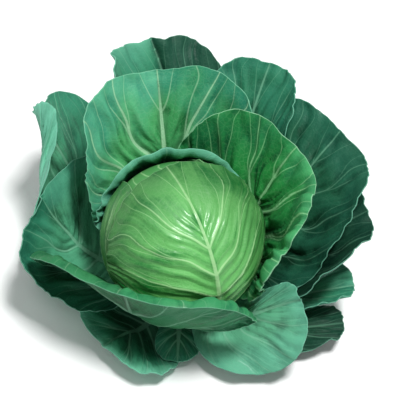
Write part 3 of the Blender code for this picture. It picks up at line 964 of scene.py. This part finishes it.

# Every leaf's tone keys are partly its own lighter or darker green and partly painted light and shade: the dark
# keys paint the shade that other leaves cast, as on right_lower, right_low and back_upper, and the keys above 1
# paint full light, as on front_fold, left_upper's flap and the lit rims of front_left_low
LEAVES = (
    close_leaf("left_wrapper", 207, 0.0015, 22, 155, 0.190, tone=(0.7, 0.7), veining=CLOSE),
    close_leaf("right_wrapper", 25, 0.0015, 22, 150, 0.180, tone=(0.7, 0.7), veining=CLOSE),
    close_leaf(
        "front_wrapper",
        297,
        0.0030,
        22,
        205,
        0.230,
        tone=(0.55, 0.85, 1.05, 0.95, 0.7, 0.6),
        veining=Veining(
            side_veins=9,
            lean=0.30,
            bulge=0.0014,
            crumple=0.0005,
            pleat=0.0018,
            ridge=0.0010,
            vein=0.0008,
            rib=0.38,
            ragged=0.0045,
            creases=((-1, 4.5, 0.0030), (-1, 2.5, 0.0026)),
        ),
    ),
    close_leaf(
        "back_wrapper",
        102,
        0.0060,
        22,
        142,
        0.200,
        curl=(0, -20, -60, -90, -60, -10, 0),
        curl_depth=0.014,
        tone=(2.2, 0.9, 0.8, 0.8, 0.8, 0.9, 2.2),
        look=FINISHES[Tissue.OUTER],
        veining=COLLAR,
    ),
    Leaf("back_right_inner", Tissue.INNER, 30, 0.037, 0.200, 0.216, (12, 48, 66, 58, 48), cup=(60, 60),
         curl=(0, -70, -80, -20, 0, 0, 0), curl_depth=0.012,
         ruffle=(0, 0.006, 0.006, 0.003, 0.003, 0.003, 0), waves=4, tone=(1.5, 1.0, 0.9, 0.9, 0.9, 0.9, 1.0),
         look=DEEP_SHADED_LEAF, veining=PLEATED),
    Leaf("back_left_inner", Tissue.INNER, 99, 0.037, 0.235, 0.215, (12, 45, 66, 60, 48), cup=(65, 50),
         ruffle=(0, 0.002, 0.002, 0.003, 0.002, 0.002, 0), waves=2.5, phase=1, tone=(0.95, 1.05, 1.6),
         veining=INNER),
    Leaf("front_left_inner", Tissue.INNER, 235, 0.037, 0.144, 0.236, (12, 48, 71, 76, 72),
         twist=(0, 3, 8, 10), cup=(45, 10), curl=(0, -60, -100, -90, -130, -60, 0), curl_depth=0.018,
         ruffle=(0, 0.002, 0.002, 0.001, 0.002, 0.002, 0), tone=(0.8, 0.6, 0.6, 0.6, 0.6, 0.7, 0.8, 1.0, 1.0),
         look=CUP_LEAF),
    Leaf("front_fold", Tissue.OUTER, 308, 0.033, 0.142, 0.092, (8, 24, 30, 32, 24), skew=-0.3,
         veer=(0, 28, 46, 50), twist=(5, 20, 34, 40, 38), cup=(30, -10),
         ruffle=(0, 0.003, 0.004, 0.003, 0.002, 0.002, 0), waves=3, tone=(1.9, 1.9)),
    Leaf("back_right_upper", Tissue.OUTER, 62, 0.030, 0.262, 0.135, (8, 36, 54, 50, 40), cup=(40, 60),
         ruffle=(0, 0.003, 0.003, 0.004, 0.003, 0.002, 0), waves=2.5, tone=(0.9, 0.9)),
    Leaf("back_upper", Tissue.OUTER, 88, 0.023, 0.272, 0.160, (8, 38, 57, 54, 38), skew=0.1,
         veer=(0, 6, 20, 36), cup=(85, 10), ruffle=(0, 0.002, 0.002, 0.004, 0.002, 0.002, 0), waves=2.5,
         phase=2, tone=(0.35, 0.35, 0.4, 1.9)),
    Leaf("left_spread", Tissue.OUTER, 158, 0.030, 0.180, 0.198, (0, 13, 31, 57, 66), skew=-0.12, cup=(30, 68),
         ruffle=(0, 0.002, 0.002, 0.004, 0.003, 0.002, 0), waves=3, gap=0.003,
         tone=(1.6, 1.6, 1.6, 1.6, 1.3, 0.7)),
    Leaf("right_upper", Tissue.OUTER, 35, 0.023, 0.240, 0.200, (5, 30, 43, 42, 32), cup=(40, 40),
         ruffle=(0, 0.003, 0.003, 0.004, 0.003, 0.002, 0), waves=3, phase=1, tone=(0.5, 0.6)),
    Leaf("right_lower", Tissue.OUTER, 10, 0.017, 0.208, 0.140, (8, 31, 41, 36, 26), cup=(50, 60),
         ruffle=(0, 0.003, 0.004, 0.004, 0.004, 0.003, 0), waves=3, tone=(0.25, 0.25)),
    Leaf("left_upper", Tissue.OUTER, 137, 0.021, 0.230, 0.138, (5, 30, 49, 50, 46), twist=(0, 0, 22, 40),
         cup=(175, 40), cup_along=(0.3, 0.35, 0.75, 0.95), tone=(1.1, 2.1)),
    Leaf("right_boat", Tissue.OUTER, 352, 0.010, 0.176, 0.075, (5, 16, 20, 18, 12), veer=(0, 5, 8),
         cup=(80, 80), petiole=0.0030, foot=0.0060, tone=(1.0, 1.6)),
    Leaf("right_low", Tissue.OUTER, 322, 0.010, 0.172, 0.064, (0, 4, 9, 11, 8), veer=(0, 33, 40), cup=(15, 5),
         ruffle=(0, 0.002, 0.003, 0.003, 0.003, 0.002, 0), waves=3, petiole=0.0030, foot=0.0060,
         tone=(0.25, 0.25)),
    Leaf("front_low", Tissue.OUTER, 268, 0.021, 0.066, 0.050, (2, 0, -4, -10, -16), cup=(10, 10)),
    Leaf("front_left_low", Tissue.OUTER, 222, 0.018, 0.093, 0.122, (0, 6, 10, 10, 8), cup=(20, 20),
         ruffle=(0, 0.002, 0.003, 0.003, 0.003, 0.002, 0), waves=3,
         tone=(2.3, 1.2, 0.6, 0.5, 0.6, 1.2, 2.3)),
    Leaf("back_low", Tissue.OUTER, 76, 0.014, 0.200, 0.150, (0, 12, 22, 20, 5), cup=(30, 30)),
    Leaf("back_left_low", Tissue.OUTER, 152, 0.012, 0.160, 0.120, (0, 6, 12, 12, 5), cup=(30, 30)),
)


@dataclass
class Cabbage:
    """The whole plant: the heart, and the leaves from the inside out."""

    leaves: tuple[Leaf, ...] = LEAVES
    heart: Heart = field(default_factory=Heart)

    def press_out(self, leaf: Leaf, sheet: np.ndarray, inside: BVHTree) -> np.ndarray:
        """Push a sheet away from the head's middle until it clears the leaves inside it, as the frame does.

        Args:
            leaf: The leaf.
            sheet: Its points, by row and column.
            inside: The heart and the leaves inside this one.

        Returns:
            The sheet, clear of them.
        """
        middle = np.array([0.0, 0.0, HEAD_MIDDLE])
        along, out = frame_grid()
        rib = leaf.rib_share(along, out)
        from_root = ease(0.0, 0.3, along)
        steps = 4
        reach = 0.030
        for _ in range(8):
            need = np.zeros(sheet.shape[:2])
            for row_step in range(steps):
                for column_step in range(steps):
                    u, v = row_step / (steps - 1), column_step / (steps - 1)
                    low = sheet[:-1, :-1] * (1 - v) + sheet[:-1, 1:] * v
                    high = sheet[1:, :-1] * (1 - v) + sheet[1:, 1:] * v
                    samples = low * (1 - u) + high * u
                    for row, column in np.ndindex(samples.shape[:2]):
                        away = samples[row, column] - middle
                        distance = float(np.linalg.norm(away))
                        away = Vector(away / distance)
                        far = Vector(middle) + away * (distance + reach)
                        hit = inside.ray_cast(far, -away, reach + leaf.gap)[3]
                        if hit is not None:
                            cell = need[row : row + 2, column : column + 2]
                            np.maximum(cell, reach - hit + leaf.gap, out=cell)
            if need.max() < 1e-5:
                break
            push = need
            for _ in range(24):
                push = np.maximum(need, blurred(push) * from_root)
            push = np.where(rib > 0, (push * (rib > 0)).max(axis=1, keepdims=True), push)
            push[:, SIDE:] = np.maximum.accumulate(push[:, SIDE:], axis=1)
            push[:, SIDE::-1] = np.maximum.accumulate(push[:, SIDE::-1], axis=1)
            push[-1] = np.maximum(push[-1], push[-1][::-1])
            away = sheet - middle
            sheet = sheet + away / np.linalg.norm(away, axis=-1, keepdims=True) * push[..., None]
        return sheet

    def frame_leaf(self, leaf: Leaf, sheet: np.ndarray) -> tuple[list[Vector], list[tuple[int, ...]]]:
        """Points and triangles of a leaf as it is in the frame.

        Args:
            leaf: The leaf.
            sheet: Its pressed inner face, by row and column.

        Returns:
            The points and the triangles of its two faces.
        """
        rows, columns = sheet.shape[:2]

        def number(row: int, column: int) -> int:
            """Number of a point, with the two sides of the tip's row joined."""
            return row * columns + (max(column, columns - 1 - column) if row == rows - 1 else column)

        inner = []
        places = sheet.reshape(-1, 3)
        for row in range(rows - 1):
            for column in range(columns - 1):
                a, b = number(row, column), number(row, column + 1)
                c, d = number(row + 1, column + 1), number(row + 1, column)
                if np.linalg.norm(places[a] - places[c]) < np.linalg.norm(places[b] - places[d]):
                    inner += [(a, c, b), (a, d, c)]
                else:
                    inner += [(a, d, b), (b, d, c)]
        corners = places[np.array(inner)]
        turns = np.cross(corners[:, 1] - corners[:, 0], corners[:, 2] - corners[:, 0])
        normals = np.zeros_like(places)
        for corner in range(3):
            np.add.at(normals, np.array(inner)[:, corner], turns)
        normals = normals.reshape(sheet.shape)
        normals[-1, :SIDE] = normals[-1, :SIDE:-1]
        normals /= np.linalg.norm(normals, axis=-1, keepdims=True)
        along, out = frame_grid()
        rib = leaf.rib_share(along, out)
        normals += rib[..., None] * (normals[:, SIDE : SIDE + 1] - normals)
        normals /= np.linalg.norm(normals, axis=-1, keepdims=True)
        outer = (sheet - normals * leaf.thickness(along, out)[..., None]).reshape(-1, 3)
        count = len(places)
        faces = inner + [tuple(count + corner for corner in face) for face in inner]
        return [Vector(place) for place in (*places, *outer)], faces

    def grow(self) -> list[tuple[np.ndarray, BVHTree]]:
        """How far every leaf of the frame was pushed and lifted at each point, and what is round it."""
        points, faces = self.heart.frame_solid()
        moves, spans = [], []
        for leaf in self.leaves:
            inside = BVHTree.FromPolygons(points, faces)
            free = leaf.curled(*frame_grid())
            sheet = self.press_out(leaf, free, inside)
            lift = np.maximum(FLOOR_GAP + BLADE - sheet[..., 2], 0.0)
            sheet = sheet + lift[..., None] * np.array([0.0, 0.0, 1.0])
            new_points, new_faces = self.frame_leaf(leaf, sheet)
            spans.append((len(faces), len(faces) + len(new_faces)))
            faces = faces + [tuple(len(points) + corner for corner in face) for face in new_faces]
            points = points + new_points
            moves.append(sheet - free)
        round_each = [BVHTree.FromPolygons(points, faces[:first] + faces[last:]) for first, last in spans]
        return list(zip(moves, round_each))

    def build(self) -> None:
        """Make every piece, dress it, and have it stand for its node of the frame."""
        heart = self.heart.build()
        heart.data.materials.append(self.heart.dress())
        self.put(heart, "heart")
        for index, (leaf, (moved, others)) in enumerate(zip(self.leaves, self.grow())):
            piece = LeafPiece(leaf, moved, others, 3.7 * index + 1.3).build()
            piece.data.materials.append((leaf.look or FINISHES[leaf.tissue]).dress())
            self.put(piece, leaf.name)

    def put(self, piece: bpy.types.Object, node: str) -> None:
        """Show a piece in place of its node.

        Args:
            piece: The finished piece.
            node: The node that it replaces.
        """
        bpy.context.scene.collection.objects.link(piece)
        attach(piece, "root")
        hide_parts(node)
        LOG.info("%s: %d faces", piece.name, len(piece.data.polygons))


@dataclass
class Studio:
    """A pale floor, soft light from above, and the photograph's view."""

    elevation: float = 50.0
    aim_x: float = 0.021
    aim_up: float = 0.11736
    span: float = 0.416
    distance: float = 1.5

    def build_floor(self) -> None:
        """A wide pale floor that the cabbage stands on."""
        shape = bmesh.new()
        bmesh.ops.create_grid(shape, x_segments=1, y_segments=1, size=6.0)
        mesh = bpy.data.meshes.new("floor")
        shape.to_mesh(mesh)
        shape.free()
        floor = bpy.data.objects.new("floor", mesh)
        paint = bpy.data.materials.new("white_paper_floor")
        paint.use_nodes = True
        shader = paint.node_tree.nodes["Principled BSDF"]
        shader.inputs["Base Color"].default_value = linear("#fafafa")
        shader.inputs["Roughness"].default_value = 0.9
        shader.inputs["Specular IOR Level"].default_value = 0.1
        mesh.materials.append(paint)
        bpy.context.scene.collection.objects.link(floor)

    def build_lights(self) -> None:
        """A key light nearly overhead, a little to the front right, a weak fill, and light from all round."""
        for name, azimuth, elevation, power, size in (
            ("key", 325, 74, 106.0, 0.60),
            ("fill", 150, 55, 18.0, 3.2),
        ):
            lamp = bpy.data.lights.new(name, "AREA")
            lamp.energy = power
            lamp.size = size
            bulb = bpy.data.objects.new(name, lamp)
            bpy.context.scene.collection.objects.link(bulb)
            turn, rise = math.radians(azimuth), math.radians(elevation)
            away = Vector((math.cos(turn) * math.cos(rise), math.sin(turn) * math.cos(rise), math.sin(rise)))
            bulb.location = Vector((0.0, 0.0, 0.10)) + 3.2 * away
            bulb.rotation_mode = "QUATERNION"
            bulb.rotation_quaternion = away.to_track_quat("Z", "Y")
        world = bpy.data.worlds.new("soft_white_room")
        world.use_nodes = True
        sky = world.node_tree.nodes["Background"]
        sky.inputs["Color"].default_value = linear("#ffffff")
        sky.inputs["Strength"].default_value = 0.30
        bpy.context.scene.world = world
        bpy.context.scene.view_settings.view_transform = "Standard"

    def build_camera(self) -> None:
        """The camera, which looks along +Y and down at the cabbage."""
        rise = math.radians(self.elevation)
        up = Vector((0, math.sin(rise), math.cos(rise)))
        back = Vector((0, -math.cos(rise), math.sin(rise)))
        head = Vector((0, 0, HEAD_MIDDLE))
        target = Vector((self.aim_x, 0, 0)) + up * self.aim_up + back * head.dot(back)
        lens = bpy.data.cameras.new("camera")
        lens.sensor_width = 36
        lens.lens = lens.sensor_width * self.distance / self.span
        lens.clip_start, lens.clip_end = 0.05, 20
        camera = bpy.data.objects.new("camera", lens)
        camera.location = target + back * self.distance
        camera.rotation_mode = "QUATERNION"
        camera.rotation_quaternion = back.to_track_quat("Z", "Y")
        bpy.context.scene.collection.objects.link(camera)
        bpy.context.scene.camera = camera

    def build(self) -> None:
        """Make the floor, the lights and the camera."""
        self.build_floor()
        self.build_lights()
        self.build_camera()


def main() -> None:
    """Build the cabbage and the studio."""
    logging.basicConfig(level=logging.INFO)
    Cabbage().build()
    Studio().build()


if __name__ == "__main__":
    main()
